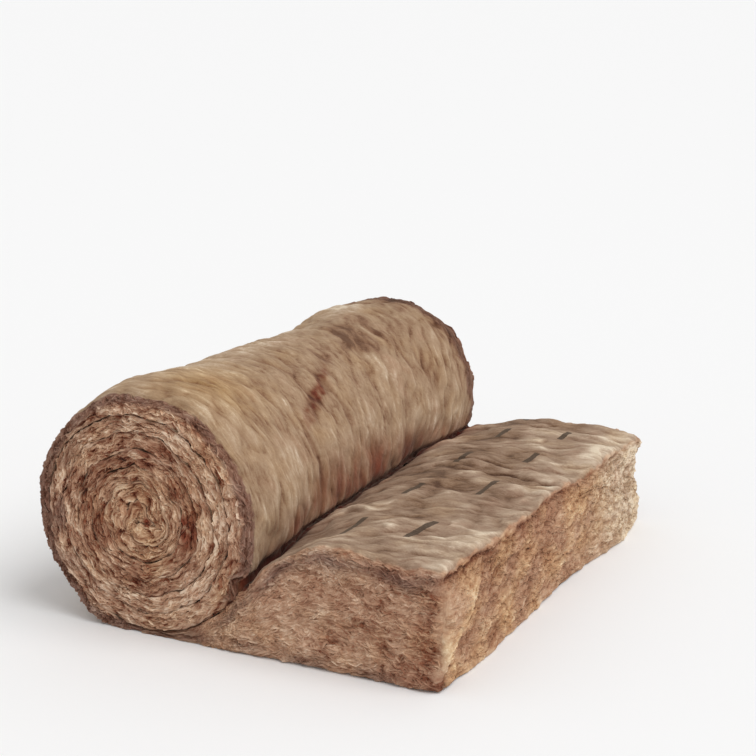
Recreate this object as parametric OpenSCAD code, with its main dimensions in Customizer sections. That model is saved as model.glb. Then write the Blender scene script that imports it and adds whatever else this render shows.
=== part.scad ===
// Glass mineral wool insulation roll, partly opened: a coil with its free end lying flat beside it.
// One continuous quilt. The coil's axis runs along Y, the opened end points to +X, and Z is up.
// The origin is the middle of the underside of the whole roll.

/* [Quilt] */
// Width of the quilt, along the coil's axis
quilt_w = 1200; // [400:10:1400]
// Thickness of the opened quilt at its cut end
quilt_t = 250; // [150:5:310]
// Extra height of the opened quilt where it swells, between the coil and the cut end
crown_h = 12; // [0:1:25]

/* [Coil] */
// Diameter of the coil
coil_d = 540; // [440:10:700]
// How far the coil's own weight presses its underside flat
coil_sag = 8; // [4:1:15]
// Rounding of the coil's edge at both ends
coil_edge_r = 26; // [6:1:40]
// Thickness of one turn inside the coil
turn_t = 38; // [25:1:60]
// Width of the joint that shows between two turns on the coil's ends
joint_w = 4; // [2:0.5:8]
// Depth of that joint
joint_depth = 9; // [3:0.5:15]

/* [Opened end] */
// Length of the opened quilt, from the coil's axis to the cut end
opened_l = 720; // [620:10:1600]
// How far below the quilt's thickness the valley beside the coil lies
valley_depth = 75; // [40:5:110]
// Length over which the top face rises out of the valley
valley_run = 200; // [80:10:260]
// Rounding of the top edge of the cut end
top_edge_r = 20; // [4:1:40]
// Rounding of the bottom edge of the cut end
bottom_edge_r = 12; // [2:1:30]

/* [Hidden] */

coil_r = coil_d / 2;
axis_z = coil_r - coil_sag;
axis_x = (coil_r - opened_l) / 2;

// The valley's bottom is where the opened quilt's top face meets the coil.
valley_z = quilt_t - valley_depth;
valley_x = sqrt(pow(coil_r, 2) - pow(valley_z - axis_z, 2));
valley_angle = 270 + atan2(valley_z - axis_z, valley_x);

curve_steps = 12;
spiral_step = 12;
turns_drawn = floor((coil_r - turn_t) / turn_t);

// The outermost turn is pressed thinner than the rest by this share of a turn.
first_turn_share = 0.35;
first_turn_fade = 60;

// Radius of the joint between turns, `a` degrees of winding inward from the valley.
function joint_r(a) =
    coil_r - turn_t * (a / 360 + first_turn_share * (1 - exp(-a / first_turn_fade)));

// Points on an arc of radius r about a corner's centre, from angle a0 to a1.
function arc(centre, r, a0, a1, steps) =
    [for (i = [0:steps]) let (a = a0 + (a1 - a0) * i / steps) centre + r * [cos(a), sin(a)]];

// Height of the opened quilt's top face, `x` from the coil's axis.
function valley_rise(x) = sin(90 * min(1, (x - valley_x) / valley_run));
function swell(x) = crown_h * sin(180 * (x - valley_x) / (opened_l - valley_x));
function top_z(x) = valley_z + valley_depth * valley_rise(x) + swell(x);

// Outline of the opened quilt in the X-Z plane, with the coil's axis at X 0.
function opened_outline() = concat(
    [[0, axis_z], [0, 0]],
    arc([opened_l - bottom_edge_r, bottom_edge_r], bottom_edge_r, -90, 0, 5),
    arc([opened_l - top_edge_r, quilt_t - top_edge_r], top_edge_r, 0, 90, 6),
    [for (i = [curve_steps - 1:-1:0])
        let (x = valley_x + (opened_l - top_edge_r - valley_x) * i / curve_steps) [x, top_z(x)]]
);

// Half outline of the coil: across is the radius, up is along the axis.
module coil_profile() {
    flat_l = quilt_w / 2 - coil_edge_r;
    polygon(concat(
        [[0, -quilt_w / 2]],
        arc([coil_r - coil_edge_r, -flat_l], coil_edge_r, -90, 0, 6),
        arc([coil_r - coil_edge_r, flat_l], coil_edge_r, 0, 90, 6),
        [[0, quilt_w / 2]]
    ));
}

module coil() {
    translate([0, 0, axis_z])
        rotate([90, 0, 0])
            rotate_extrude($fn = 96)
                coil_profile();
}

// The free end of the quilt, which fills the wedge under the coil and lies flat beyond it.
module opened_end() {
    translate([0, quilt_w / 2, 0])
        rotate([90, 0, 0])
            linear_extrude(height = quilt_w)
                polygon(opened_outline());
}

// Spiral slot along the joint between the turns. It winds in from the valley, and half its height is in the coil.
module turn_joint() {
    last = turns_drawn * 360 / spiral_step;
    function at(i, side) =
        let (a = i * spiral_step, r = joint_r(a) + side * joint_w / 2, w = valley_angle - 270 - a)
        [r * cos(w), r * sin(w)];
    linear_extrude(height = 2 * joint_depth, center = true)
        polygon(concat(
            [for (i = [0:last]) at(i, 1)],
            [for (i = [last:-1:0]) at(i, -1)]
        ));
}

// Everything below the floor, which the coil's sag removes.
module below_floor() {
    translate([-coil_d, -quilt_w, -coil_d])
        cube([2 * coil_d, 2 * quilt_w, coil_d]);
}

module wool_quilt() {
    color("#a98a6c")
        translate([axis_x, 0, 0])
            difference() {
                union() {
                    coil();
                    opened_end();
                }
                below_floor();
                for (side = [-1, 1])
                    translate([0, side * quilt_w / 2, axis_z])
                        rotate([90, 0, 0])
                            turn_joint();
            }
}

wool_quilt();
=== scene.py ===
"""An opened roll of glass mineral wool: a coil with its free end lying flat beside it."""

import bpy
import numpy as np
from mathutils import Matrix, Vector


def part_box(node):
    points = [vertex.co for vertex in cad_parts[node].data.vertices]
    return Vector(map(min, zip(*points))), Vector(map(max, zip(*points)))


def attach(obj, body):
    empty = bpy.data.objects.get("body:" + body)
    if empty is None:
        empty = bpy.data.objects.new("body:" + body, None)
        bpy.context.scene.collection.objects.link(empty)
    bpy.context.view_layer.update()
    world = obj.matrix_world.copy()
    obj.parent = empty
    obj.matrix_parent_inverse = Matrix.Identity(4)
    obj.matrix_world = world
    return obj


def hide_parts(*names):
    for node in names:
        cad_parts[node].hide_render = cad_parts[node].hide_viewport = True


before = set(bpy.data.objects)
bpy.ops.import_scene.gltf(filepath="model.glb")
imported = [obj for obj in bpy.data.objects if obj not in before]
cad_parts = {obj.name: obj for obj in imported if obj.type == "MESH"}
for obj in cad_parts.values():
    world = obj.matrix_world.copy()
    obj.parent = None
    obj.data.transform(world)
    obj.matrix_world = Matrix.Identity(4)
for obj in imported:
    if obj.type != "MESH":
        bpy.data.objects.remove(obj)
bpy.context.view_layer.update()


# ----------------------------------------
# The opened end. It is glass fibre blown on to a belt, bound, cured and slit to width, so its
# two faces are smooth skins, its long edges show the fibre in flat layers, and its end is torn
# across them. It has been unrolled and lies flat, and behind it the quilt runs on under the coil.
# ----------------------------------------

# Sizes are in metres. The width, the cut end and the coil's axis come from the quilt part's box.
quilt_low, quilt_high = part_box("wool_quilt")
HALF_WIDTH = (quilt_high.y - quilt_low.y) / 2
COIL_R = 0.270
AXIS_X, AXIS_Z = quilt_low.x + COIL_R, quilt_high.z - COIL_R
CUT_X = quilt_high.x
TURN = 0.038  # how far the winding steps inward in one turn
NIP_ANGLE = -18.8  # degrees above level, near the crease, from which the winding is counted
FAN_TURN = 72.0  # degrees of winding that the opened end's piece carries on below the coil
OPEN_RUN, FAN_RUN = 0.475, 0.34  # the quilt's length from cut to crease, and on below the coil
LIE_H = 0.256  # the opened end's height

# Two rows of printed cutting guides. A row is its place along the quilt in metres, and its marks
# are the shares of the width at which they start and end.
DASH_WIDE = 0.015
DASH_ROWS = [
    (0.195, [(0.099, 0.200), (0.356, 0.442), (0.596, 0.678), (0.812, 0.879), (0.968, 0.982)]),
    (0.342, [(0.112, 0.241), (0.425, 0.522), (0.663, 0.733), (0.858, 0.918)]),
]


def ease(x):
    """0 below 0, 1 above 1 and a smooth step between, three x squared less two x cubed."""
    x = np.clip(x, 0, 1)
    return x * x * (3 - 2 * x)


def hill(x, middle, reach):
    """1 at the middle and falling away as the bell curve, to 0.37 at the reach."""
    return np.exp(-(((x - middle) / reach) ** 2))


SHUFFLE = np.tile(np.random.default_rng(11).permutation(256), 3)
SLOPES = np.random.default_rng(12).normal(size=(256, 2))
SLOPES /= np.linalg.norm(SLOPES, axis=1, keepdims=True)


def noise(u, v, seed):
    """Smooth noise, about -1 to 1. Each whole-numbered corner has a random slope of its own, and
    a point mixes the four nearest corners' slopes, each times its offset, by the quintic step."""
    place = np.stack(np.broadcast_arrays(u, v), -1) + 0.37
    whole = np.floor(place).astype(int)
    part = place - whole
    step = part**3 * (part * (part * 6 - 15) + 10)
    total = 0
    for corner in np.ndindex(2, 2):
        cell = (whole + corner) & 255
        slope = SLOPES[SHUFFLE[SHUFFLE[cell[..., 0] + seed] + cell[..., 1]]]
        weight = np.prod(np.where(corner, step, 1 - step), -1)
        total = total + weight * (slope * (part - corner)).sum(-1)
    return 1.7 * total


def creases(u, v, seed, sharp):
    """0 along thin ragged creases, where the noise passes zero, and near 1 on the broad lobes
    between: 1 less the exponential of minus the noise's size over its sharpness."""
    return 1 - np.exp(-np.abs(noise(u, v, seed)) / sharp)


def joint_radius(turn):
    """Radius of the joint between turns after that many degrees of winding inward from the
    crease: the coil's radius less a turn's thickness for each turn, less a quick first squeeze,
    and past the crease an uneven waver of up to 5 mm."""
    waver = 0.0032 * noise(turn / 23, 0 * turn, 7) + 0.0017 * noise(turn / 9, 0 * turn, 8)
    return COIL_R - TURN * (turn / 360 + 0.35 * (1 - np.exp(-turn / 60))) + waver * ease(turn / 90)


def coil_radius(y, angle):
    """Outer radius of the coil: flared behind the near rim, slimmer past the middle, fuller where
    it sags just left of the bottom and at the far rim's right, drawn in at the near rim's upper
    left, and cut off by the floor. Angle is in degrees above level. The cut is the lesser of the
    two radii, blended: half their sum, less the root of half their difference squared plus the
    blend squared."""
    near = y + HALF_WIDTH
    radius = COIL_R + 0.018 * hill(near, 0.11, 0.14) - 0.014 * hill(near, 0.80, 0.22)
    radius = radius + 0.012 * hill((angle + 110) % 360, 0, 24)
    radius = radius - 0.009 * hill(near, 0, 0.12) * hill(angle % 360, 130, 34)
    radius = radius + 0.013 * ease((near - 0.95) / 0.15) * hill((angle + 90) % 360, 138, 42)
    floor = AXIS_Z / np.maximum(-np.sin(np.radians(angle)), 0.05)
    blend = 0.003  # metres
    return (radius + floor) / 2 - np.sqrt(((radius - floor) / 2) ** 2 + blend**2)


def on_coil(radius, angle):
    """The x and z of the point at a radius from the coil's axis and an angle above level."""
    angle = np.radians(angle)
    return np.stack([AXIS_X + radius * np.cos(angle), AXIS_Z + radius * np.sin(angle)])


def crease_angle(y):
    """Where the top skin meets the coil, in degrees above level: lower at the near end."""
    return -14.5 - 11 * np.exp(-(y + HALF_WIDTH) / 0.10)


def top_height(x, y, crease_x, crease_z):
    """Height of the top skin: from the crease up a quarter sine to the lying height."""
    near = y + HALF_WIDTH
    lie = LIE_H + 0.004 - 0.014 * ease(near / 0.9) + 0.012 * hill(x, 0.27, 0.10) * hill(near, 0, 0.13)
    lie = lie + 0.006 * noise(x / 0.25, y / 0.16, 3) - 0.010 * ease((x - 0.36) / 0.14) * ease(near / 1.1)
    climb = np.sin(np.radians(90 * np.clip((x - crease_x) / 0.20, 0, 1)))
    groove = 0.006 * hill(x, crease_x + 0.010, 0.009) * ease((x - crease_x) / 0.006)
    groove = groove * (1 + 0.8 * hill(near, 0.08, 0.09))
    return crease_z + (lie - crease_z) * climb - groove


def rounded(depths, radii):
    """Rounds the edges of a box. Depths are how far a point of its skin lies inside each pair of
    faces, and radii how far the rounding reaches. Each depth inside its reach counts as a share of
    it, from 0 to 1 at the face. The shares' length n pulls a point in by radius times share times
    1 - 1/n. Gives the pull, the outward direction and each face's weight, which is share/n squared."""
    shares = [np.clip(1 - d / r, 0, 1) for d, r in zip(depths, radii)]
    n = np.maximum(np.sqrt(sum(s * s for s in shares)), 1e-6)
    pull = [r * s * (1 - 1 / np.maximum(n, 1)) for s, r in zip(shares, radii)]
    outward = [s / r for s, r in zip(shares, radii)]
    length = np.maximum(np.sqrt(sum(o * o for o in outward)), 1e-6)
    return pull, [o / length for o in outward], [(s / n) ** 2 for s in shares]


def edge_relief(along, across, layer, seed):
    """Relief of a slit edge in metres and its light, about 0 to 1. The light is painted shade in the
    creases and painted highlight on the flakes and swells, following the relief. Ragged flakes, long
    with the quilt and a layer thick, lap over one another like shingles, with deep creases here and
    there, thinner creases within them, and slow swells below it all."""
    w = across / layer + 1.0 * noise(along / 0.055, across / 0.040, seed + 1)
    w = w + 0.40 * noise(along / 0.018, across / 0.012, seed + 2)
    ply = w - np.floor(w)
    held = ease(0.5 + 1.4 * noise(along / 0.040, 0.8 * w, seed + 3))
    lap = held * (ply * ease((1 - ply) / 0.22) - 0.4)
    deep = creases(along / 0.085, 0.55 * w, seed + 4, 0.13) - 0.82
    thin = creases(along / 0.050, 1.25 * w, seed + 5, 0.22) - 0.70
    flakes = noise(along / 0.045, 0.95 * w, seed + 6)
    chips = noise(along / 0.016, 2.2 * w, seed + 7)
    swell = noise(along / 0.15, across / 0.06, seed + 8)
    rise = 0.0045 * lap + 0.0062 * deep + 0.0026 * thin + 0.0030 * flakes
    light = 0.50 + 0.30 * lap + 0.48 * deep + 0.30 * thin + 0.22 * flakes
    return rise + 0.0012 * chips + 0.004 * swell, light + 0.14 * chips + 0.08 * swell


def top_relief(x, y):
    """Relief of the opened end's top skin and its light: soft folds that run from the coil to the cut and
    lap over one another, with a sharp wrinkle under each lap and faint puckers. The light is painted
    shade in the wrinkles, folds and tears and painted highlight on the laps and swells."""
    turn = np.radians(13)
    p, q = x * np.cos(turn) + y * np.sin(turn), y * np.cos(turn) - x * np.sin(turn)
    q = q + 0.022 * noise(p / 0.12, q / 0.09, 21) + 0.008 * noise(p / 0.045, q / 0.035, 29)
    wave = noise(p / 0.13, q / 0.075, 22)
    lap = q / 0.105 + 1.1 * noise(p / 0.15, q / 0.13, 26)
    lap = lap - np.floor(lap)
    held = ease(0.35 + 1.7 * noise(p / 0.09, q / 0.08, 27))
    lap = held * (1 - lap) ** 2 * ease(lap / 0.10)
    wrinkle = creases(p / 0.13, q / 0.060, 23, 0.16) - 0.80
    pucker = noise(p / 0.050, q / 0.018, 24)
    tears = creases(p / 0.070, q / 0.026, 25, 0.14) - 0.82
    calm = 1 - 0.72 * sum(hill(x, row_x, 0.035) for row_x, _ in DASH_ROWS)
    sway = 0.014 * noise(x / 0.09, 0 * x, 28)
    fold = hill(y - 0.085 - sway, 0, 0.008) * hill(x, 0.345, 0.15)
    fold = fold + 0.8 * hill(y - 0.150 + sway, 0, 0.008) * hill(x, 0.275, 0.09)
    rise = 0.0066 * wave + 0.0062 * lap + 0.0036 * wrinkle + 0.0013 * pucker + 0.0012 * tears
    rise = calm * rise - 0.011 * fold
    light = 0.42 + 0.17 * wave + 0.40 * lap + 0.22 * wrinkle + 0.12 * pucker + 0.13 * tears - 0.65 * fold
    light = light + 0.22 * ease((x - 0.38) / 0.09) + 0.10 * hill(y, -0.50, 0.12) * ease((x - 0.15) / 0.1)
    light = light - 0.20 * hill(x, 0.18, 0.08) * ease((y + 0.20) / 0.3) + 0.10 * ease((y - 0.15) / 0.2)
    light = light - 0.15 * hill(x, 0.29, 0.11) * hill(y, -0.09, 0.19)
    return rise, light


def cut_relief(y, z):
    """Relief of the torn end and its light: crumbly tufts that lie with the layers, with ragged
    creases between, on slow swells. A thick smooth fold stands beside the near corner, and under
    the top skin's ragged lip there is a shallow groove. The light is painted shade in the creases,
    the split beside the fold and the groove, and painted highlight on the tufts and the fold."""
    w = y + 0.030 * noise(y / 0.08, z / 0.04, 31) - 0.5 * z
    tall = z + 0.014 * noise(y / 0.06, z / 0.04, 37)
    tuft = noise(w / 0.075, tall / 0.034, 32)
    crease = creases(w / 0.100, tall / 0.050, 33, 0.10) - 0.85
    crumb = noise(w / 0.024, tall / 0.0105, 34)
    crack = creases(w / 0.038, tall / 0.018, 35, 0.25) - 0.70
    swell = noise(y / 0.20, z / 0.12, 36)
    split = y + 0.600 - 1.15 * np.maximum(z - 0.04, 0) - 0.014 * noise(z / 0.03, 0 * z, 38)
    lobe = (1 - ease((split + 0.022) / 0.026)) * (1 - ease((z - 0.18) / 0.05))
    split = hill(split, 0, 0.009) * (1 - ease((z - 0.17) / 0.04))
    rough = 1 - 0.6 * lobe
    lip = LIE_H - 0.020 + 0.008 * noise(y / 0.045, 0 * y, 39) - z
    groove = hill(lip, 0, 0.008)
    rise = 0.0040 * tuft + 0.0042 * crease + 0.0018 * crumb + 0.0013 * crack
    rise = rise * rough + 0.006 * swell + 0.010 * lobe - 0.014 * split - 0.006 * groove
    light = 0.16 * tuft + 0.22 * crease + 0.15 * crumb + 0.12 * crack
    light = 0.64 + light * rough + 0.08 * swell
    light = light + 0.28 * lobe - 0.5 * split - 0.30 * groove + 0.24 * ease((y - 0.15) / 0.40)
    # Painted shadow darkens a band just under the top skin's lip.
    light = light - 0.14 * hill(z, 0.235, 0.025)
    return rise, light - 0.12 * hill(z, 0.15, 0.06) * (1 - ease((y - 0.1) / 0.3))


def wander(point):
    """Shifts points in x and z by slow noise, up to 7 mm over a hand's width and 2 mm over a
    finger's, as the soft wool gives, and by 12 mm more at the middle of the coil's faces. The
    upward shift fades to nothing at the floor and keeps z above it."""
    x, y, z = point[..., 0], point[..., 1], point[..., 2]
    free = ease(z / 0.08)
    reach = np.hypot(x - AXIS_X, z - AXIS_Z)
    near = 0.30 * (1 - ease((reach - 0.18) / 0.05)) + hill(reach, 0, 0.075)
    near = near * (np.abs(y) > 0.5)
    slide = 0.0055 * noise(x / 0.11 + y / 0.30, z / 0.11, 91)
    slide = slide + 0.0020 * noise(x / 0.040, z / 0.040 + y / 0.06, 92)
    slide = slide + 0.012 * near * noise(x / 0.045, z / 0.045, 95)
    lift = 0.0055 * noise(x / 0.11, z / 0.11 + y / 0.30, 93)
    lift = lift + 0.0020 * noise(x / 0.040 + y / 0.06, z / 0.040, 94)
    lift = lift + 0.012 * near * noise(x / 0.045, z / 0.045, 96)
    return np.stack([x + slide, y, np.maximum(z + free * lift, 0)], -1)


def opened_end(path, across, up):
    """Point of the opened end's skin and its finish. Path runs from 0 at the cut to 1 at the
    crease and 2 below the coil's middle, across from -1 near to 1 far, up from 0 floor to 1 top.
    Each section is a straight line from its foot to its head, with its edges rounded and the
    relief added outwards. The finish is how light, skinned, dark-rinded, torn and stained it is. Its
    light holds painted shade and highlight that follow the relief, and its stain also holds the
    painted shade of the crease."""
    y = across * HALF_WIDTH
    angle = crease_angle(y)
    radius = coil_radius(y, angle) - 0.008
    crease_x, crease_z = on_coil(radius, angle)
    run = (CUT_X - crease_x) * np.clip(path, 0, 1)
    x = CUT_X - run
    height = top_height(x, y, crease_x, crease_z)

    # Past the crease a section runs from the first joint out to the coil's own radius.
    fan = np.clip(path - 1, 0, 1)
    angle = angle + (NIP_ANGLE - FAN_TURN - angle) * fan
    head = on_coil(joint_radius(FAN_TURN * fan) + (radius - COIL_R) * (1 - fan), angle)
    rim = on_coil(coil_radius(y, angle), angle)
    foot = np.stack([head[0] + (rim[0] - head[0]) * ease(fan), rim[1] * fan**12])
    flat = path <= 1
    head = np.where(flat, np.stack([x, height]), head)
    foot = np.where(flat, np.stack([x, 0 * x]), foot)
    thick = np.hypot(*(head - foot))

    # The edges are rounded, and the relief of each face counts by that face's weight.
    high = up > 0.5
    side_r = np.where(high, 0.022 - 0.015 * ease(3 * fan), 0.006)
    top_r = np.where(high, 0.022 - 0.0155 * ease(3 * fan), np.minimum(0.006, 0.3 * thick))
    deep_end = np.where(flat, run, 1.0)
    deep_top = np.where(high, (1 - up) * thick, up * thick)
    pull, out, weight = rounded(
        [deep_end, HALF_WIDTH - np.abs(y), deep_top], [0.020 + 0 * y, side_r, top_r]
    )
    side, lift = np.sign(y), np.where(high, 1.0, -1.0)
    along = run + COIL_R * np.radians(FAN_TURN * fan)
    seed = np.where(y < 0, 40, 60)
    wide, wide_light = edge_relief(along, up * LIE_H, 0.0200, seed)
    wide_light = 0.46 + 0.48 * wide_light - 0.21 * ease((x - 0.20) / 0.27)
    tight, tight_light = edge_relief(along, up * TURN, 0.0080, seed + 9)
    edge = wide + (tight - wide) * ease(fan)
    edge_light = wide_light + (tight_light - wide_light) * ease(fan)
    top, top_light = top_relief(x, y)
    cut, cut_light = cut_relief(y, up * thick)
    top, top_light = np.where(high & flat, top, 0), np.where(high, top_light, 0.5)
    rise = weight[0] * cut + weight[1] * edge + weight[2] * top
    light = weight[0] * cut_light + weight[1] * edge_light + weight[2] * top_light

    # The torn end bulges low down towards its far side, and has a lip at the far top corner.
    t = up * thick - lift * pull[2] + lift * out[2] * rise
    point = foot + (head - foot) / np.maximum(thick, 1e-6) * t
    px = point[0] - np.where(flat, pull[0] - out[0] * rise, 0)
    py = y - side * pull[1] + side * out[1] * rise
    bulge = 0.020 * hill(y, 0.40, 0.15) * hill(up, 0.2, 0.35) * hill(run, 0, 0.12)
    px = px + bulge + 0.009 * hill(y, HALF_WIDTH, 0.05) * hill(up, 1, 0.15) * hill(run, 0, 0.05)
    py = py - 0.006 * (y < 0) * hill(up, 0, 0.25) * weight[1]

    # Dark rind lies in patches along the foot and just below the top skin, whose edge is frayed.
    patchy = ease(0.75 + 0.9 * noise(along / 0.11, up / 0.30, 44))
    rind = hill(t, 0, 0.026) * (0.15 + 0.65 * patchy)
    below = hill(thick - t, 0.030 + 0.010 * noise(along / 0.08, 0 * along, 46), 0.021)
    rind = np.maximum(rind, (0.40 + 0.55 * patchy) * below * (1 - ease(2 * fan))) * weight[1]
    warm = noise(y / 0.10 + 3, up / 0.35, 45)
    fray = 0.34 * noise(y / 0.045 + x / 0.060, x / 0.040, 47) + 0.12 * noise(y / 0.014, x / 0.014, 48)
    skinned = np.where(high, ease((weight[2] - 0.42 + fray) / 0.30), 0.4 * weight[2])
    # Painted shade darkens the top skin in the crease where it meets the coil, and more faintly beside it.
    crease_shade = 0.9 * hill(x, crease_x + 0.004, 0.012)
    crease_shade = crease_shade + (0.28 + 0.20 * ease(y / 0.3)) * hill(x, crease_x, 0.06)
    cut_stain = 0.20 * ease(0.45 - 1.2 * warm + 0.6 * (up - 0.5)) * (1 - ease((y - 0.05) / 0.35))
    finish = {
        "light": light,
        "skin": np.maximum(skinned, 0.9 * weight[0] * ease((y - 0.10) / 0.40)),
        "rind": rind,
        "torn": weight[0],
        "stain": np.maximum(crease_shade * weight[2] * flat, cut_stain * weight[0]),
        "gold": 0.36 * weight[0] * ease(0.4 + 1.1 * warm) * (1 - ease((y - 0.15) / 0.3)),
    }
    return wander(np.stack([px, py, np.maximum(point[1], 0)], -1)), finish


def sheet(shape, axes, atlas, grain, flip=False, turned=False):
    """One grid of a piece's skin. The shape is a function of two parameters, given as the two
    axes. The atlas is the rectangle it bakes to, its first axis along u, or along v when turned,
    and the grain is its own fibre map, in metres."""
    first, second = np.meshgrid(*axes, indexing="ij")
    point, finish = shape(first, second)
    i, j = np.meshgrid(*[np.linspace(0, 1, n) for n in first.shape], indexing="ij")
    if turned:
        i, j = j, i
    u0, v0, u1, v1 = atlas
    bake = np.stack([u0 + (u1 - u0) * i, v0 + (v1 - v0) * j], -1)
    return {"point": point, "finish": finish, "bake": bake, "grain": grain(first, second), "flip": flip}


def solid(name, points, corners, sizes, maps, finish, material, smooth=True):
    """One mesh object from its points, its faces' corners one after another and their counts,
    its UV maps by corner and its finish by point."""
    mesh = bpy.data.meshes.new(name)
    mesh.vertices.add(len(points))
    mesh.loops.add(len(corners))
    mesh.polygons.add(len(sizes))
    mesh.vertices.foreach_set("co", points.astype(np.float32).ravel())
    mesh.loops.foreach_set("vertex_index", corners.astype(np.int32).ravel())
    mesh.polygons.foreach_set("loop_start", (np.cumsum(sizes) - sizes).astype(np.int32))
    mesh.polygons.foreach_set("use_smooth", np.full(len(sizes), smooth))
    for key, values in finish.items():
        layer = mesh.attributes.new(key, "FLOAT", "POINT")
        layer.data.foreach_set("value", values.astype(np.float32).ravel())
    for key, values in maps.items():
        layer = mesh.uv_layers.new(name=key)
        layer.data.foreach_set("uv", values.astype(np.float32).ravel())
    mesh.update(calc_edges=True)
    mesh.validate()
    mesh.materials.append(material)
    piece = bpy.data.objects.new(name, mesh)
    bpy.context.scene.collection.objects.link(piece)
    return piece


WELD = 1e-6  # points within a micrometre of one another are one
LID_RADIUS = 0.006  # a lid's share of the bake


def closed_piece(name, sheets, lids, material):
    """Joins grids of quads, and lids of one many-sided face each, into one closed mesh. Points
    that fall together become one, so grids that share an edge are welded."""
    points, corners, sizes, bakes, grains = [], [], [], [], []
    finish = {key: [] for key in sheets[0]["finish"]}
    count = 0
    for s in sheets:
        rows, columns = s["point"].shape[:2]
        index = count + np.arange(rows * columns).reshape(rows, columns)
        quad = [index[:-1, :-1], index[1:, :-1], index[1:, 1:], index[:-1, 1:]]
        quad = np.stack(quad[::-1] if s["flip"] else quad, -1).reshape(-1)
        points.append(s["point"].reshape(-1, 3))
        corners.append(quad)
        sizes.append(np.full(len(quad) // 4, 4))
        bakes.append(s["bake"].reshape(-1, 2)[quad - count])
        grains.append(s["grain"].reshape(-1, 2)[quad - count])
        for key, values in finish.items():
            values.append(s["finish"][key].reshape(-1))
        count += rows * columns
    for loop, corner in lids:
        points.append(loop)
        corners.append(count + np.arange(len(loop)))
        sizes.append([len(loop)])
        turn = np.linspace(0, 2 * np.pi, len(loop), endpoint=False)
        ring = np.stack([np.cos(turn), np.sin(turn)], -1)
        bakes.append(np.array(corner) + LID_RADIUS * ring)
        grains.append(0.1 * ring)
        for values in finish.values():
            values.append(np.zeros(len(loop)))
        count += len(loop)
    points = np.concatenate(points)
    keys = np.round(points / WELD).astype(np.int64)
    _, kept, welded = np.unique(keys, axis=0, return_index=True, return_inverse=True)
    maps = {"OFBake": np.concatenate(bakes), "Grain": np.concatenate(grains)}
    finish = {key: np.concatenate(values)[kept] for key, values in finish.items()}
    corners = welded.ravel()[np.concatenate(corners)]
    return solid(name, points[kept], corners, np.concatenate(sizes), maps, finish, material)


def colour(code):
    """A linear colour from sRGB hex: each part over 12.92 up to 0.04045, and above it the part
    plus 0.055, over 1.055, to the power 2.4."""
    parts = np.array([int(code[i : i + 2], 16) / 255 for i in (1, 3, 5)])
    parts = np.where(parts <= 0.04045, parts / 12.92, ((parts + 0.055) / 1.055) ** 2.4)
    return (*parts, 1.0)


def add(tree, kind, inputs, out=0, stops=(), **settings):
    """Adds a node with its settings, sets or links its inputs, named or numbered, fills a colour
    ramp's stops, the first of which stands at 0, and gives the output that is asked for."""
    made = tree.nodes.new("ShaderNode" + kind)
    for key, value in settings.items():
        setattr(made, key, value)
    for key, value in inputs.items():
        if isinstance(value, bpy.types.NodeSocket):
            tree.links.new(value, made.inputs[key])
        else:
            made.inputs[key].default_value = value
    if stops:
        band = made.color_ramp.elements
        band.remove(band[1])
        band[0].color = colour(stops[0][1])
        for place, code in stops[1:]:
            band.new(place).color = colour(code)
    return made.outputs[out]


# The colours of each finish, from the painted shade of a crease's depth to the painted highlight
# of a lit ridge. The binder makes the wool brown, it gathers as a darker rind where the quilt was
# slit, and the skins are greyer and paler.
EDGE_STOPS = [
    (0.0, "#5a2213"), (0.16, "#844a32"), (0.38, "#a2745b"),
    (0.60, "#bd967b"), (0.82, "#d3b297"), (1.0, "#ebd3ba"),
]
TORN_STOPS = [
    (0.0, "#6a3c28"), (0.20, "#8a5e44"), (0.42, "#a57e62"),
    (0.64, "#bb977a"), (0.85, "#cfb294"), (1.0, "#e6d3b8"),
]
RIND_STOPS = [(0.0, "#38190f"), (0.22, "#5f3d31"), (0.60, "#7f5c50"), (1.0, "#a08172")]
TOP_SKIN = [
    (0.0, "#4c3122"), (0.20, "#745844"), (0.42, "#8f7561"),
    (0.62, "#a58d78"), (0.82, "#c0ab95"), (1.0, "#dacab3"),
]
# What tints them: slow patches of warmer wool, rust-red binder stain, which darkens to near black
# as the painted shade of the crease and of the coil's middle, and a straw-yellow bloom.
WARM_STOPS = [(0.0, "#ecd2c8"), (0.48, "#ffffff"), (0.68, "#fffaf0")]
STAIN_AND_SHADE_STOPS = [(0.0, "#ffffff"), (0.45, "#c8a398"), (0.7, "#ae6454"), (1.0, "#641c12")]
STRAW, DASH_INK = colour("#fff0c4"), colour("#35251b")


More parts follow.
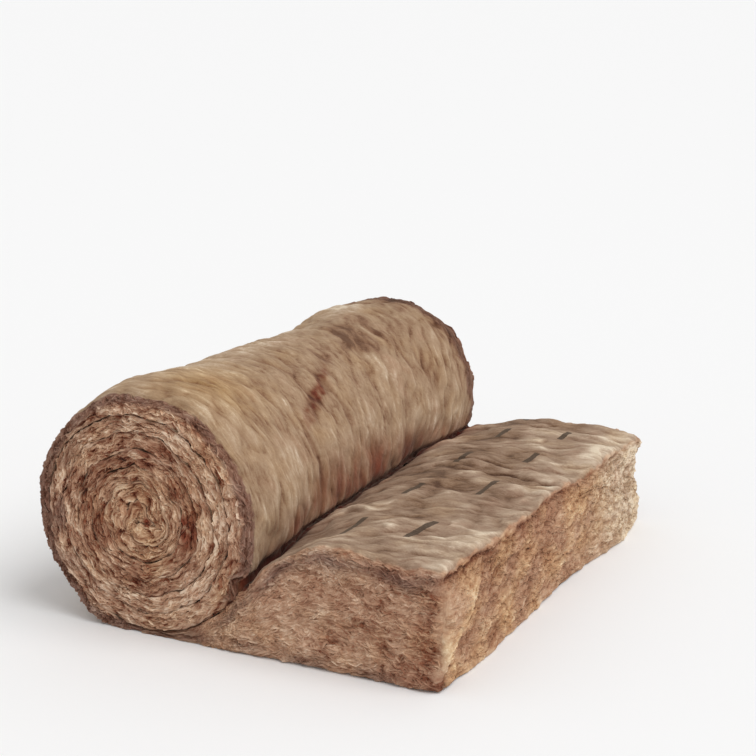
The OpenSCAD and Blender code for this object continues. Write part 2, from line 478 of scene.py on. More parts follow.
def glass_wool(name, skin_stops, dashes=False):
    """Glass mineral wool: brown-bound glass fibre in matted layers, dull, and deep in its creases.
    A glass fibre is far too fine to show, so the streaks are drawn as coarse as tufts of it."""
    material = bpy.data.materials.new(name)
    material.use_nodes = True
    tree = material.node_tree
    tree.nodes.clear()
    place = add(tree, "TexCoord", {}, "Object")
    grain = add(tree, "UVMap", {}, "UV", uv_map="Grain")
    light, skin, rind, torn, stain, gold = [
        add(tree, "Attribute", {}, "Fac", attribute_name=key)
        for key in ("light", "skin", "rind", "torn", "stain", "gold")
    ]

    # Streaks with the fibre, by a tuft's length and thickness in metres.
    streaks = []
    for long, thin, detail in [(0.034, 0.0095, 3), (0.014, 0.0042, 3), (0.042, 0.018, 3), (0.020, 0.005, 2)]:
        scaled = add(tree, "Mapping", {0: grain, "Scale": (1 / long, 1 / thin, 1)})
        inputs = {"Vector": scaled, "Scale": 1, "Detail": detail, "Roughness": 0.6, "Distortion": 0.6}
        streaks.append(add(tree, "TexNoise", inputs))
    coarse, fine, lobes, threads = streaks

    # Lumps with no direction, by how many there are to a metre: 10 mm grit that lies along the
    # torn end, clouds and warm patches a hand wide, 40 mm mottling and 4 mm crumbs.
    lying = add(tree, "Mapping", {0: place, "Scale": (1, 0.45, 1)})
    lumps = []
    for vector, scale, detail, rough in [
        (lying, 105, 5, 0.7), (place, 7, 5, 0.6), (place, 11, 4, 0.6),
        (place, 24, 3, 0.5), (place, 240, 3, 0.5),
    ]:
        inputs = {"Vector": vector, "Scale": scale, "Detail": detail, "Roughness": rough}
        lumps.append(add(tree, "TexNoise", inputs))
    grit, clouds, warmth, mottle, crumbs = lumps

    # Thin dark lines run where the coarse streaks pass their middle value.
    line = coarse
    for operation, other in [("ADD", -0.5), ("ABSOLUTE", 0.0), ("MULTIPLY", 16.0), ("MINIMUM", 1.0)]:
        line = add(tree, "Math", {0: line, 1: other}, operation=operation)

    # Sums of the patterns, each by its share: the matted edge, the smoother skin, the crumbly
    # torn end, and the depth for the bump.
    sums = []
    for total, parts in [
        (-0.785, [(fine, 0.65), (coarse, 0.70), (line, 0.14)]),
        (-0.38, [(threads, 0.30), (lobes, 0.46)]),
        (-0.55, [(grit, 1.10)]),
        (0.0, [(crumbs, 0.30), (fine, 0.50), (coarse, 0.70)]),
    ]:
        for part, share in parts:
            total = add(tree, "Math", {0: part, 1: share, 2: total}, operation="MULTIPLY_ADD")
        sums.append(total)
    matted, smooth, crumbly, depth = sums

    # How far up its colours a point stands: its own light, which holds painted shade and highlight,
    # its pattern and the lumps.
    level = add(tree, "Mix", {0: skin, 2: matted, 3: smooth})
    level = add(tree, "Mix", {0: torn, 2: level, 3: crumbly})
    for part, share in [(light, 1.0), (crumbs, 0.30), (mottle, 0.45), (clouds, 0.55)]:
        level = add(tree, "Math", {0: part, 1: share, 2: level}, operation="MULTIPLY_ADD")
    level = add(tree, "Math", {0: level, 1: -0.65}, operation="ADD")
    shade = add(tree, "ValToRGB", {0: level}, stops=EDGE_STOPS)
    for share, stops in [(torn, TORN_STOPS), (rind, RIND_STOPS), (skin, skin_stops)]:
        layer = add(tree, "ValToRGB", {0: level}, stops=stops)
        shade = add(tree, "Mix", {0: share, 6: shade, 7: layer}, 2, data_type="RGBA")
    warm_tint = add(tree, "ValToRGB", {0: warmth}, stops=WARM_STOPS)
    stain_and_shade_tint = add(tree, "ValToRGB", {0: stain}, stops=STAIN_AND_SHADE_STOPS)
    for share, tint in [(1.0, warm_tint), (1.0, stain_and_shade_tint), (gold, STRAW)]:
        inputs = {0: share, 6: shade, 7: tint}
        shade = add(tree, "Mix", inputs, 2, data_type="RGBA", blend_type="MULTIPLY")

    # Printed dashes, with ragged sides, worn through to the wool here and there.
    if dashes:
        ragged = add(tree, "Math", {0: crumbs, 1: 0.004, 2: -0.002}, operation="MULTIPLY_ADD")
        worn = add(tree, "Math", {0: crumbs, 1: 0.55}, operation="ADD", use_clamp=True)
        on_top = add(tree, "Math", {0: skin, 1: 0.5}, operation="GREATER_THAN")
        run = add(tree, "SeparateXYZ", {0: place}, "Y")
        for operation, other in [("ADD", HALF_WIDTH), ("DIVIDE", 2 * HALF_WIDTH)]:
            run = add(tree, "Math", {0: run, 1: other}, operation=operation)
        for row_x, marks in DASH_ROWS:
            on_row = add(tree, "SeparateXYZ", {0: place}, "X")
            for operation, other in [
                ("ADD", -row_x), ("ADD", ragged), ("ABSOLUTE", 0.0), ("LESS_THAN", DASH_WIDE / 2)
            ]:
                on_row = add(tree, "Math", {0: on_row, 1: other}, operation=operation)
            stops = [(0.0, "#000000")]
            for start, end in marks:
                stops += [(start, "#ffffff"), (end, "#000000")]
            on_run = add(tree, "ValToRGB", {0: run}, stops=stops)
            on_run.node.color_ramp.interpolation = "CONSTANT"
            mark = on_run
            for part in (on_row, on_top, worn, 0.94):
                mark = add(tree, "Math", {0: mark, 1: part}, operation="MULTIPLY")
            shade = add(tree, "Mix", {0: mark, 6: shade, 7: DASH_INK}, 2, data_type="RGBA")

    shallower = add(tree, "Math", {0: skin, 1: -0.5, 2: 1.0}, operation="MULTIPLY_ADD")
    depth = add(tree, "Math", {0: depth, 1: shallower}, operation="MULTIPLY")
    bump = add(tree, "Bump", {"Height": depth, "Strength": 0.8, "Distance": 0.005})
    dull = {"Roughness": 0.92, "Specular IOR Level": 0.15}
    downy = {"Sheen Weight": 0.20, "Sheen Roughness": 0.6, "Sheen Tint": colour("#e6d2b8")}
    shader = add(tree, "BsdfPrincipled", {"Base Color": shade, "Normal": bump, **dull, **downy})
    tree.links.new(shader, tree.nodes.new("ShaderNodeOutputMaterial").inputs["Surface"])
    return material


PATH_STEPS, FAN_STEPS, WIDTH_STEPS, HEIGHT_STEPS = 132, 84, 300, 64


def crowded(count, share):
    """Steps from 0 to 1 that crowd towards both ends, where the edges are rounded: x less the
    share of sin 2 pi x over 2 pi."""
    x = np.linspace(0, 1, count + 1)
    return x - share * np.sin(2 * np.pi * x) / (2 * np.pi)


path_steps = np.linspace(0, 1, PATH_STEPS + 1)
path_steps = path_steps - 0.3 * np.sin(np.pi * path_steps) / np.pi
fan_steps = 1 + np.linspace(0, 1, FAN_STEPS + 1)
side_steps = np.concatenate([path_steps, fan_steps[1:]])
width_steps = 2 * crowded(WIDTH_STEPS, 0.35) - 1
height_steps = crowded(HEIGHT_STEPS, 0.35)


def side_sheet(face, atlas):
    """The near or the far long edge of the opened end, over its run and its height."""
    return sheet(
        lambda g, v: opened_end(g, face + 0 * g, v),
        (side_steps, height_steps),
        atlas,
        lambda g, v: np.stack([0.5 * g, face + 0.25 * v], -1),
        flip=face < 0,
        turned=True,
    )


def loop_of(shape, *rows):
    """A shape's points along rows of its parameters, joined as one loop."""
    rows = [np.broadcast_arrays(*row) for row in rows]
    return np.concatenate([shape(*row)[0] for row in rows])


opened = closed_piece(
    "opened_end",
    [
        side_sheet(-1.0, (0.62, 0.0, 0.80, 0.62)),
        side_sheet(1.0, (0.82, 0.0, 1.0, 0.62)),
        sheet(
            lambda g, e: opened_end(g, e, 1 + 0 * g),
            (path_steps, width_steps),
            (0.0, 0.0, 0.38, 0.96),
            lambda g, e: np.stack([OPEN_RUN * g, 0.6 * e + 5], -1),
            flip=True,
        ),
        sheet(
            lambda e, v: opened_end(0 * e, e, v),
            (width_steps, height_steps),
            (0.40, 0.0, 0.60, 0.96),
            lambda e, v: np.stack([0.25 * v, 0.6 * e + 9], -1),
            turned=True,
        ),
        sheet(
            lambda g, e: opened_end(g, e, 0 * g),
            (side_steps[1:], [-1.0, 1.0]),
            (0.62, 0.65, 0.80, 0.96),
            lambda g, e: np.stack([0.5 * g, 0.6 * e + 13], -1),
        ),
        sheet(
            lambda g, e: opened_end(g, e, 1 + 0 * g),
            (fan_steps[1:], [-1.0, 1.0]),
            (0.82, 0.65, 1.0, 0.80),
            lambda g, e: np.stack([0.5 * g, 0.6 * e + 17], -1),
            flip=True,
        ),
    ],
    [
        (loop_of(opened_end, *rows)[::-1], corner)
        for rows, corner in [
            ([(0.0, width_steps, 0.0), (side_steps[1], (1.0, -1.0), 0.0)], (0.84, 0.88)),
            ([(1.0, width_steps[::-1], 1.0), (fan_steps[1], (-1.0, 1.0), 1.0)], (0.88, 0.88)),
            ([(2.0, -1.0, height_steps), (2.0, 1.0, height_steps[::-1])], (0.92, 0.88)),
        ]
    ],
    glass_wool("glass wool, pale top skin", TOP_SKIN, dashes=True),
)
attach(opened, "root")
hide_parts("wool_quilt")


# ----------------------------------------
# The coil's outer turn. It is the same quilt, squeezed to a sixth of its thickness and wound on
# from below the coil, up the left, over the top and down to the crease. Its skin is blond and
# streaked with the fibre, and its slit rims are rounded over and brown where the binder gathers.
# ----------------------------------------

RIM_REACH, RIM_DEPTH = 0.060, 0.024  # how far the rim's rounding runs along and into the coil
# Where the face has torn open to the redder wool inside: the crevice's radius, its angle above
# level, and how far it reaches across the layers in metres and along them in degrees.
CREVICES = [
    (0.122, 88, 0.016, 18), (0.160, 165, 0.016, 14), (0.122, -6, 0.014, 20), (0.134, -126, 0.012, 18)
]
TUCKED, OUTER_END = 372.0, 388.0  # degrees of winding where it goes under, and where this piece ends
LEAN_HUB = 1.27  # how far along the quilt the skin's lean is taken from
GRAIN_RATE = 0.0045  # metres of the fibre map to a degree of winding


def lean_of(y):
    """How far the skin's streaks lean off the winding: little at the near end, more at the far."""
    return 0.08 + 0.40 * ease((y + 0.5) / 0.7)


def coil_relief(turn, along, y):
    """Relief of the coil's skin and its light: broad soft folds, lobes and streaks that lean off the
    winding, more so towards the far end, with a few thin tears between them. The light is painted
    shade in the tears and the creases between the lobes, painted highlight on the puffs, and a
    painted highlight along the top of the coil."""
    lean = y + (along - LEAN_HUB) * lean_of(y)
    lean = lean + 0.018 * noise(along / 0.08, y / 0.07, 81)
    puff = noise(along / 0.20, y / 0.14, 82)
    lobe = creases(along / 0.100, lean / 0.052, 83, 0.24) - 0.68
    patch = creases(along / 0.190, lean / 0.105, 87, 0.12) - 0.83
    streak = noise(along / 0.110, lean / 0.030, 86)
    tears = creases(along / 0.075, lean / 0.045, 84, 0.06) - 0.91
    fine = noise(along / 0.050, lean / 0.010, 85)
    slits = creases(along / 0.045, lean / 0.018, 90, 0.09) - 0.87
    slits = slits * ease(0.35 + 1.3 * noise(along / 0.15, lean / 0.12, 107))
    fleck = ease(1.7 * noise(along / 0.030, lean / 0.011, 108) - 0.5)
    rise = 0.0055 * puff + 0.0030 * lobe + 0.0040 * patch + 0.0026 * streak
    rise = rise + 0.0018 * tears + 0.0006 * fine
    light = 0.54 + 0.14 * puff + 0.14 * lobe + 0.26 * patch + 0.15 * streak
    light = light + 0.20 * tears + 0.12 * fine + 0.20 * slits + 0.16 * fleck
    # A little darker near the near end on the coil's right, and a painted highlight along the top.
    light = light - 0.03 * hill(y, -0.42, 0.12) * hill(turn, 310, 30) + 0.12 * hill(turn, 240, 16)
    shade = 0.46 * hill(y, 0.27, 0.32) * hill(turn, 271, 18) * (0.7 + 1.1 * streak)
    return rise, light - shade - 0.36 * ease((y - 0.525) / 0.03)


def wound(turn, across, inward):
    """Point of the wound quilt's skin and its finish. Turn is the winding in degrees from the
    crease, across -1 near to 1 far, inward from 0 on the outer skin to 1 on the inner one. The
    radius shrinks with the winding, the edges are rounded, and the relief is added outwards."""
    y = across * HALF_WIDTH
    angle = NIP_ANGLE - turn
    slid = 360 - (crease_angle(y) - NIP_ANGLE)
    under = ease((turn - slid) / 22)
    outer = coil_radius(y, angle)
    outer = outer + (joint_radius(np.maximum(turn - 360, 0)) - outer) * under
    inner = np.maximum(joint_radius(turn), 0.002)
    thick = outer - inner
    face = ease((turn - FAN_TURN) / 60) * (1 - ease((turn - 355) / 25))
    out_side = inward < 0.5
    open_joint = ease(0.15 + 1.1 * noise(np.radians(turn) * 2.6, 0 * turn, 97))
    gape = 0.0012 + 0.0038 * open_joint
    side_r = np.where(out_side, 0.006 + (RIM_REACH - 0.006) * face, gape)
    side_r = np.where(out_side & (turn > TUCKED), gape, side_r)
    deep_r = np.where(
        out_side,
        np.minimum(gape + (RIM_DEPTH - gape) * face, 0.6 * thick),
        np.minimum(gape, 0.35 * thick),
    )
    depth = np.where(out_side, inward, 1 - inward) * thick
    pull, out, weight = rounded([HALF_WIDTH - np.abs(y), depth], [side_r, deep_r])
    along = COIL_R * np.radians(FAN_TURN) + np.radians(turn - FAN_TURN) * (COIL_R - TURN * turn / 720)
    along = along + OPEN_RUN
    seed = np.where(y < 0, 49, 69)
    edge, edge_light = edge_relief(along, inward * TURN, 0.0095, seed)
    skin, skin_light = coil_relief(turn, along, y)

    # The face is darker in a ring half way in and in its crevices, and lighter at the middle.
    centre = (outer + inner) / 2
    ring = hill(centre, 0.135, 0.040) * (0.5 + 0.9 * noise(centre / 0.035, np.radians(angle) / 0.5, 88))
    bare = sum(
        hill(centre, middle, wide) * hill((angle - bearing + 180) % 360, 180, reach)
        for middle, bearing, wide, reach in CREVICES
    )
    bare = bare * ease(0.72 + 1.5 * noise(along / 0.030, inward * 2 + turn / 40, 104))
    edge_light = 0.09 + edge_light - 0.12 * ring - 0.32 * bare + 0.12 * hill(centre, 0.200, 0.030)
    edge_light = edge_light + 0.06 * hill(centre, 0, 0.07)
    first = 1 - ease((turn - TUCKED) / 12)
    left = hill((angle + 2) % 360, 180, 50)
    right = hill((angle + 190) % 360, 180, 60)
    edge_light = edge_light - (0.03 + 0.10 * left) * first + 0.08 * right * hill(centre, 0.19, 0.05)
    edge_light = edge_light - 0.08 * left * (1 - first)

    # The skin is pinched in at the crease, most of all where a wedge stays open at the near end.
    rise = weight[0] * edge + weight[1] * np.where(out_side, skin, 0)
    light = weight[0] * edge_light + weight[1] * skin_light
    side, lift = np.sign(y), np.where(out_side, 1.0, -1.0)
    wedge = hill(y, -0.52, 0.09)
    pinch = (0.011 + 0.008 * wedge) * hill(turn, slid - 1.0, 2.8 + 2.0 * wedge) * first * out_side
    radius = outer - pinch - inward * thick - lift * pull[1] + lift * out[1] * rise
    py = y - side * pull[0] + side * out[0] * rise
    x, z = on_coil(radius, angle)
    point = wander(np.stack([x, py, np.maximum(z, 0)], -1))

    # Red shows on the skin in patches above the crease and in one torn mark, and on the face in the
    # crevices and in patches of the dark ring. Painted shade darkens the crease itself, and painted
    # shade at the middle of the near face stands for a hole there.
    blush = 0.5 + 0.7 * noise(along / 0.12, y / 0.09, 99) + 0.3 * noise(along / 0.07, y / 0.025, 100)
    reach = 16 + 24 * hill(y, -0.12, 0.36)
    flush = 0.70 * ease((turn - slid + reach) / (0.7 * reach)) * (0.40 + 0.60 * ease(blush))
    flush = flush * (1 - hill(y, -0.56, 0.10))
    bend = 0.15 + 0.009 * np.abs(turn - 297) + 0.022 * noise(turn / 6, y / 0.03, 101)
    hurt = hill(y + np.where(turn > 297, bend, 0.3 - bend), 0, 0.026 + 0.016 * hill(turn, 299, 6))
    hurt = 0.95 * hurt * hill(turn, 294, 13) * (0.7 + 0.5 * noise(turn / 3, y / 0.012, 105))
    # Painted shade for a hole at the middle of the near face, which the mesh leaves closed.
    hole_shade = 0.9 * hill(np.hypot(point[..., 0] - AXIS_X - 0.017, point[..., 2] - AXIS_Z + 0.006), 0, 0.010)
    bare = np.maximum(0.58 * bare, hole_shade * (y < -0.5)) * weight[0]
    scorch_and_hole_shade = bare + 0.30 * ring * ease(0.5 + noise(along / 0.05, inward, 102)) * weight[0] * (turn > 380)
    # Dark rind lines the outer turn's rim, each joint thinly, and spreads over the left side.
    rind = first * (1 - ease((inward * thick - 0.013 - 0.022 * left - 0.006 * right) / 0.014))
    rind = rind + (1 - first) * 0.45 * hill(inward * thick, 0, 0.006)
    spread = ease(0.6 + 0.9 * noise(along / 0.07, inward + turn / 360, 109))
    rind = np.maximum(rind, 0.85 * left * spread * ease((outer - inward * thick - 0.192) / 0.022))
    # Painted shade in the crease, widest at the near end's wedge.
    crease_shade = hill(turn, slid, 4.8 + 3.0 * wedge) * first
    bloom = 0.75 * hill(y, -0.44, 0.13) * hill(turn, 268, 22)
    fray = 0.12 * noise(along / 0.03, y / 0.02, 98) + 0.10 * noise(along / 0.010, y / 0.010, 103)
    skinned = ease((weight[1] - 0.44 + fray) / 0.12) * out_side
    finish = {
        "light": light,
        "skin": skinned * (1 - 0.9 * ease((y - 0.525 + 0.10 * fray) / 0.03)),
        "rind": rind * (0.7 + 0.3 * edge_light),
        "torn": 0 * light,
        "stain": np.maximum(np.maximum(crease_shade, flush), hurt) * weight[1] + scorch_and_hole_shade,
        "gold": bloom * weight[1] + 0.35 * hill(centre, 0, 0.10) * weight[0],
    }
    return point, finish


TURN_STEPS, SKIN_STEPS, RING_STEPS = 260, 300, 24
turn_steps = np.linspace(FAN_TURN, OUTER_END, TURN_STEPS + 1)
ring_steps = crowded(RING_STEPS, 0.4)
near_side, far_side = -np.ones(RING_STEPS), np.ones(RING_STEPS)
profile_across = np.concatenate([near_side, 2 * crowded(SKIN_STEPS, 0.5) - 1, far_side])
profile_inward = np.concatenate([ring_steps[:0:-1], np.zeros(SKIN_STEPS + 1), ring_steps[1:]])
profile_steps = np.arange(len(profile_across))


def ring(turn, step):
    """The outer turn's profile, carried along the winding: near face, skin, far face."""
    return wound(turn, profile_across[step], profile_inward[step])


def ring_grain(turn, step):
    """The fibre map of the outer turn: along the winding, and across it with the streaks' lean."""
    lean = lean_of(HALF_WIDTH * profile_across[step])
    return np.stack([GRAIN_RATE * turn, 0.004 * step + GRAIN_RATE * (turn - 240) * lean], -1)


BLOND_SKIN = [
    (0.0, "#5c3b28"), (0.20, "#7f5e47"), (0.42, "#967a60"),
    (0.62, "#a68b71"), (0.82, "#baa38b"), (1.0, "#d8c8b2"),
]
outer_turn = closed_piece(
    "outer_turn",
    [
        sheet(ring, (turn_steps, profile_steps), (0.0, 0.0, 1.0, 0.96), ring_grain),
        sheet(
            lambda a, e: wound(a, e, 1 + 0 * a),
            (turn_steps, [1.0, -1.0]),
            (0.0, 0.97, 0.9, 0.99),
            lambda a, e: np.stack([GRAIN_RATE * a, 0.6 * e + 9], -1),
        ),
    ],
    [
        (loop_of(wound, (turn_steps[0], profile_across, profile_inward)), (0.93, 0.98)),
        (loop_of(wound, (turn_steps[-1], profile_across, profile_inward))[::-1], (0.97, 0.98)),
    ],
    glass_wool("glass wool, blond skin", BLOND_SKIN),
)
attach(outer_turn, "root")
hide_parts("wool_quilt")


# ----------------------------------------
# The coil's inner turns. The quilt goes on inward for six more turns to the middle, and only its
# two slit edges show, as a spiral of crumpled layers with a dark joint between turn and turn.
# ----------------------------------------

INNER_END = 2690.0  # degrees of winding, where the quilt's first edge is rolled into the middle
INNER_STEPS = 1500

# The inner turns' steps are of one length along the winding, summed from its mean radius.
fine_turns = np.linspace(OUTER_END, INNER_END, 4000)
mean_radius = joint_radius(fine_turns - 360) / 2 + np.maximum(joint_radius(fine_turns), 0) / 2
mean_radius = np.maximum(mean_radius, 0.012)
walk = (mean_radius[1:] + mean_radius[:-1]) / 2 * np.radians(np.diff(fine_turns))
walked = np.concatenate([[0], np.cumsum(walk)])
inner_steps = np.interp(np.linspace(0, walked[-1], INNER_STEPS + 1), walked, fine_turns)


def face_sheet(face, atlas):
    """The near or far face of the inner turns, baked through its own flat spiral."""
    made = sheet(
        lambda a, v: wound(a, face + 0 * a, v),
        (inner_steps, ring_steps[::-1] if face < 0 else ring_steps),
        atlas,
        lambda a, v: np.stack([np.interp(a, fine_turns, walked), TURN * v + 5 * face], -1),
    )
    flat = made["point"][..., [0, 2]] - [AXIS_X, AXIS_Z]
    u0, v0, u1, v1 = atlas
    made["bake"] = np.array([(u0 + u1) / 2, (v0 + v1) / 2]) + flat / 0.50 * (u1 - u0)
    return made


def long_sheet(inward, order, atlas):
    """A hidden joint face of the inner turns, which runs straight through the coil."""
    return sheet(
        lambda a, e: wound(a, e, inward + 0 * a),
        (inner_steps, order),
        atlas,
        lambda a, e: np.stack([0.0040 * a, 0.6 * e + 9], -1),
    )


def face_loop(turn):
    """The inner turns' whole section as a loop of points, near face then far face."""
    return loop_of(wound, (turn, -1.0, ring_steps[::-1]), (turn, 1.0, ring_steps))


inner_turns = closed_piece(
    "inner_turns",
    [
        face_sheet(-1.0, (0.0, 0.0, 0.5, 0.5)),
        face_sheet(1.0, (0.5, 0.0, 1.0, 0.5)),
        long_sheet(0.0, [-1.0, 1.0], (0.0, 0.55, 1.0, 0.70)),
        long_sheet(1.0, [1.0, -1.0], (0.0, 0.75, 1.0, 0.90)),
    ],
    [(face_loop(inner_steps[0]), (0.2, 0.95)), (face_loop(inner_steps[-1])[::-1], (0.4, 0.95))],
    glass_wool("glass wool, slit edges", BLOND_SKIN),
)
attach(inner_turns, "root")
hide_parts("wool_quilt")


# ----------------------------------------
# The loose flakes. Where a knife or a tear has opened the mat, slivers of bound fibre stand off
# the edge along the layers. Each is a closed three-sided sliver, rooted just below the surface
# that it follows, with a painted highlight on its ridge, varied flake by flake, and painted shade
# at its foot.
# ----------------------------------------

STATIONS = 6  # cross-sections in one flake


def strewn(place, middle, rate, size, outward, seed, contrast=0.8):
    """Flakes strewn over a skin. Place gives the skin's point for two parameters. Middle holds
    each flake's two parameters, rate how fast they change in a metre, size its length along the
    first, its width and its lift, and outward the way the skin faces. A flake narrows to its ends
    as the root of one less the square of the way from its middle, and sways from side to side."""
    first, second = middle[0][:, None], middle[1][:, None]
    long, wide, lift = [part[:, None] for part in size]
    dice = np.random.default_rng(seed)
    shape = (len(first), STATIONS)
    q = np.linspace(-1, 1, STATIONS)
    taper = np.sqrt(1 - 0.96 * q**2) * dice.uniform(0.7, 1.2, shape)
    sway = wide * dice.normal(0, 0.25, shape) + long * dice.normal(0, 0.12, (len(first), 1)) * q
    s = first + rate[0][:, None] * long / 2 * q
    t = second + rate[1][:, None] * sway
    half = rate[1][:, None] * wide / 2 * taper
    left, right = place(s, t - half)[0], place(s, t + half)[0]
    ridge, finish = place(s, t + dice.uniform(-0.6, 0.9, (len(first), 1)) * half)
    up = np.cross(right - left, np.gradient(ridge, axis=1))
    up /= np.maximum(np.linalg.norm(up, axis=-1, keepdims=True), 1e-12)
    facing = np.sign((up * outward).sum(-1, keepdims=True).mean(1, keepdims=True))
    up = up * facing
    foot = 0.0012 * up
    point = np.stack([left - foot, ridge + (lift * taper)[..., None] * up, right - foot], 2)
    point[..., 2] = np.maximum(point[..., 2], 0)
    finish = {key: np.repeat(values[..., None], 3, -1) for key, values in finish.items()}
    # Painted highlight, varied flake by flake, on the ridge, and painted shade at the two feet.
    ridge_highlight_and_tone = contrast * dice.normal(0.10, 0.13, (len(first), 1, 1)) * [0, 1, 0]
    finish["light"] = finish["light"] + ridge_highlight_and_tone - contrast * 0.16 * np.array([1, 0, 1])
    return {"point": point, "facing": facing[:, 0, 0], "long": long, "wide": wide, "finish": finish}


def flake_piece(name, groups, material):
    """One mesh of all the flakes in the groups. Each bakes to a cell of its own in a square grid,
    its three sides next to one another, and its ends above them."""
    points, facing, long, wide = [
        np.concatenate([g[key] for g in groups]) for key in ("point", "facing", "long", "wide")
    ]
    long, wide = long[:, :, None], wide[:, :, None]
    keys = groups[0]["finish"]
    finish = {key: np.concatenate([g["finish"][key] for g in groups]).ravel() for key in keys}
    count = len(points)
    base = np.arange(count)[:, None, None] * 3 * STATIONS
    k, j = np.meshgrid(np.arange(3), np.arange(STATIONS - 1), indexing="ij")
    k, j = k.reshape(1, -1, 1), j.reshape(1, -1, 1)
    dk, dj = np.array([0, 1, 1, 0]), np.array([0, 0, 1, 1])
    order = np.where(facing[:, None, None] > 0, [0, 1, 2, 3], [3, 2, 1, 0])
    dk, dj = dk[order], dj[order]
    quads = base + 3 * (j + dj) + (k + dk) % 3
    ends = np.where(facing[:, None, None] > 0, [[2, 1, 0], [0, 1, 2]], [[0, 1, 2], [2, 1, 0]])
    ends = base + ends + np.array([[0], [3 * STATIONS - 3]])

    cells = int(np.ceil(np.sqrt(count)))
    column, row = np.arange(count)[:, None, None] % cells, np.arange(count)[:, None, None] // cells
    side_u = (column + 0.08 + 0.84 * (k + dk) / 3) / cells
    side_v = (row + 0.06 + 0.76 * (j + dj) / (STATIONS - 1)) / cells
    end_u = (column + np.array([[0.1, 0.3, 0.2], [0.6, 0.8, 0.7]])) / cells
    end_v = (row + np.array([[0.88, 0.88, 0.95], [0.88, 0.88, 0.95]])) / cells
    bake_u = np.concatenate([side_u.reshape(-1), end_u.reshape(-1)])
    bake_v = np.concatenate([side_v.reshape(-1), end_v.reshape(-1)])
    own = np.random.default_rng(5).uniform(0, 9, (count, 1, 1))
    side_along, side_round = own + long * (j + dj) / (STATIONS - 1), own + wide * (k + dk) / 2
    grain_u = np.concatenate([side_along.reshape(-1), (own + end_u).reshape(-1)])
    grain_v = np.concatenate([side_round.reshape(-1), (own + end_v).reshape(-1)])
    return solid(
        name,
        points.reshape(-1, 3),
        np.concatenate([quads.reshape(-1), ends.reshape(-1)]),
        np.concatenate([np.full(quads.shape[0] * quads.shape[1], 4), np.full(2 * count, 3)]),
        {"OFBake": np.stack([bake_u, bake_v], -1), "Grain": np.stack([grain_u, grain_v], -1)},
        finish,
        material,
        smooth=False,
    )


def sizes(dice, count, long, wide, lift):
    """Lengths, widths and lifts, each even between its two limits."""
    return [dice.uniform(*limits, count) for limits in (long, wide, lift)]


def face_flakes(face, count, seed):
    """Flakes along the layers on one face of the coil, as many to an area near the middle as at
    the rim, and shorter near the middle."""
    dice = np.random.default_rng(seed)
    turns = np.linspace(80, INNER_END - 40, 4000)
    radii = np.maximum(joint_radius(turns - 360) / 2 + joint_radius(turns) / 2, 0.012)
    share = np.cumsum(radii)
    turn = np.interp(dice.uniform(0, share[-1], count), share, turns)
    radius = np.interp(turn, turns, radii)
    size = sizes(dice, count, (0.014, 0.056), (0.0032, 0.0080), (0.0018, 0.0056))
    size[0] = size[0] * np.minimum(1, radius / 0.10)
    return strewn(
        lambda a, v: wound(a, face + 0 * a, np.clip(v, 0.02, 0.98)),
        (turn, dice.uniform(0.04, 0.96, count)),
        (np.degrees(1 / radius), np.full(count, 1 / TURN)),
        size,
        (0.0, face, 0.0),
        seed,
    )


def side_flakes(face, count, seed):
    """Flakes along the layers on one long edge of the opened end."""
    dice = np.random.default_rng(seed)
    path, up = dice.uniform(0.03, 1.45, count), dice.uniform(0.03, 0.97, count)
    top = opened_end(path, face + 0 * path, 1 + 0 * path)[0]
    foot = opened_end(path, face + 0 * path, 0 * path)[0]
    thick = np.linalg.norm(top - foot, axis=-1)
    return strewn(
        lambda g, v: opened_end(g, face + 0 * g, np.clip(v, 0.01, 0.99)),
        (path, up),
        (np.where(path < 1, 1 / OPEN_RUN, 1 / FAN_RUN), 1 / thick),
        sizes(dice, count, (0.020, 0.065), (0.006, 0.013), (0.002, 0.006)),
        (0.0, face, 0.0),
        seed,
        contrast=0.38,
    )


def cut_tufts(count, seed):
    """Short tufts that lie with the layers over the torn end."""
    dice = np.random.default_rng(seed)
    return strewn(
        lambda e, v: opened_end(0 * v, np.clip(e, -0.99, 0.99), np.clip(v, 0.02, 0.97)),
        (dice.uniform(-0.985, 0.985, count), dice.uniform(0.04, 0.95, count)),
        (np.full(count, 1 / HALF_WIDTH), np.full(count, 1 / 0.25)),
        sizes(dice, count, (0.014, 0.040), (0.003, 0.007), (0.0012, 0.0038)),
        (1.0, 0.0, 0.0),
        seed,
        contrast=0.30,
    )


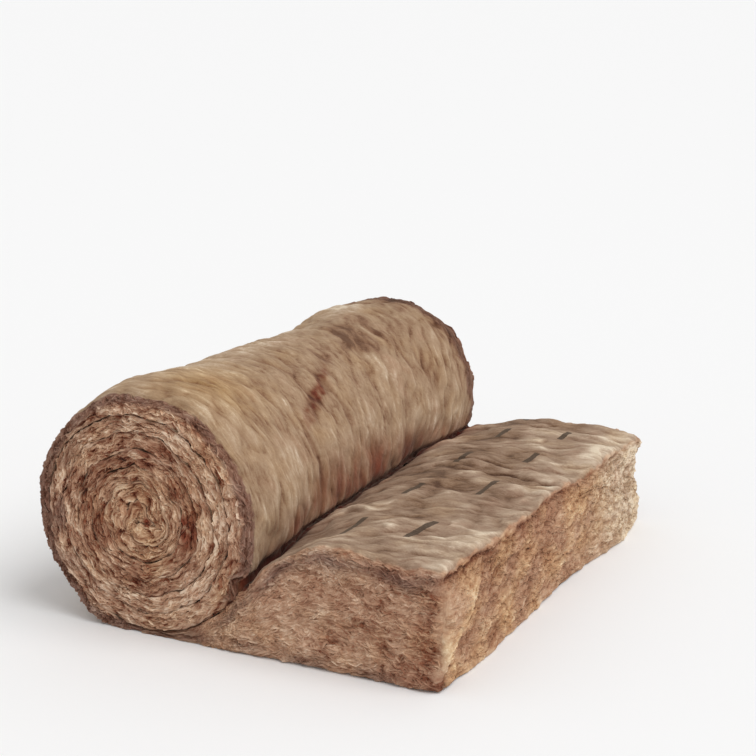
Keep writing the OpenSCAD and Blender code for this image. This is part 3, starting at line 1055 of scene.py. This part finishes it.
edge_wool = inner_turns.data.materials[0]
loose_pieces = [
    flake_piece("coil_face_flakes", [face_flakes(-1, 2300, 201), face_flakes(1, 1500, 202)], edge_wool),
    flake_piece("opened_end_flakes", [side_flakes(-1, 1300, 203), side_flakes(1, 900, 204)], edge_wool),
    flake_piece("torn_end_tufts", [cut_tufts(3000, 205)], edge_wool),
]
for piece in loose_pieces:
    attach(piece, "root")


# ----------------------------------------
# The studio. It is a plain pale floor, a bright even sky, one broad soft lamp above and behind to
# the right, and the camera.
# ----------------------------------------

FLOOR = 400  # half the floor's side, in metres, so that it runs to the horizon
floor_mesh = bpy.data.meshes.new("floor")
corners = [(-FLOOR, -FLOOR, 0), (FLOOR, -FLOOR, 0), (FLOOR, FLOOR, 0), (-FLOOR, FLOOR, 0)]
floor_mesh.from_pydata(corners, [], [(0, 1, 2, 3)])
floor = bpy.data.objects.new("floor", floor_mesh)
bpy.context.scene.collection.objects.link(floor)
paint = bpy.data.materials.new("matt white paint")
paint.use_nodes = True
paint.node_tree.nodes["Principled BSDF"].inputs["Base Color"].default_value = colour("#f4f4f4")
paint.node_tree.nodes["Principled BSDF"].inputs["Roughness"].default_value = 0.9
floor_mesh.materials.append(paint)

world = bpy.data.worlds.new("studio")
bpy.context.scene.world = world
world.use_nodes = True
world.node_tree.nodes["Background"].inputs["Color"].default_value = (1, 1, 1, 1)
world.node_tree.nodes["Background"].inputs["Strength"].default_value = 0.62

sky_lamp = bpy.data.lights.new("broad lamp", "SUN")
sky_lamp.energy, sky_lamp.angle = 1.7, np.radians(45)
lamp = bpy.data.objects.new("broad lamp", sky_lamp)
lamp.rotation_euler = Vector((0.60, -0.05, 0.80)).to_track_quat("Z", "Y").to_euler()
bpy.context.scene.collection.objects.link(lamp)

camera_data = bpy.data.cameras.new("camera")
camera_data.sensor_width = 36
camera_data.lens = 81.8
camera = bpy.data.objects.new("camera", camera_data)
camera.location = (1.803, -3.502, 1.467)
bearing, dip = np.radians(26.65), np.radians(14.3)
forward = Vector((-np.sin(bearing) * np.cos(dip), np.cos(bearing) * np.cos(dip), -np.sin(dip)))
camera.rotation_euler = forward.to_track_quat("-Z", "Y").to_euler()
bpy.context.scene.collection.objects.link(camera)
bpy.context.scene.camera = camera
bpy.context.scene.view_settings.view_transform = "Standard"
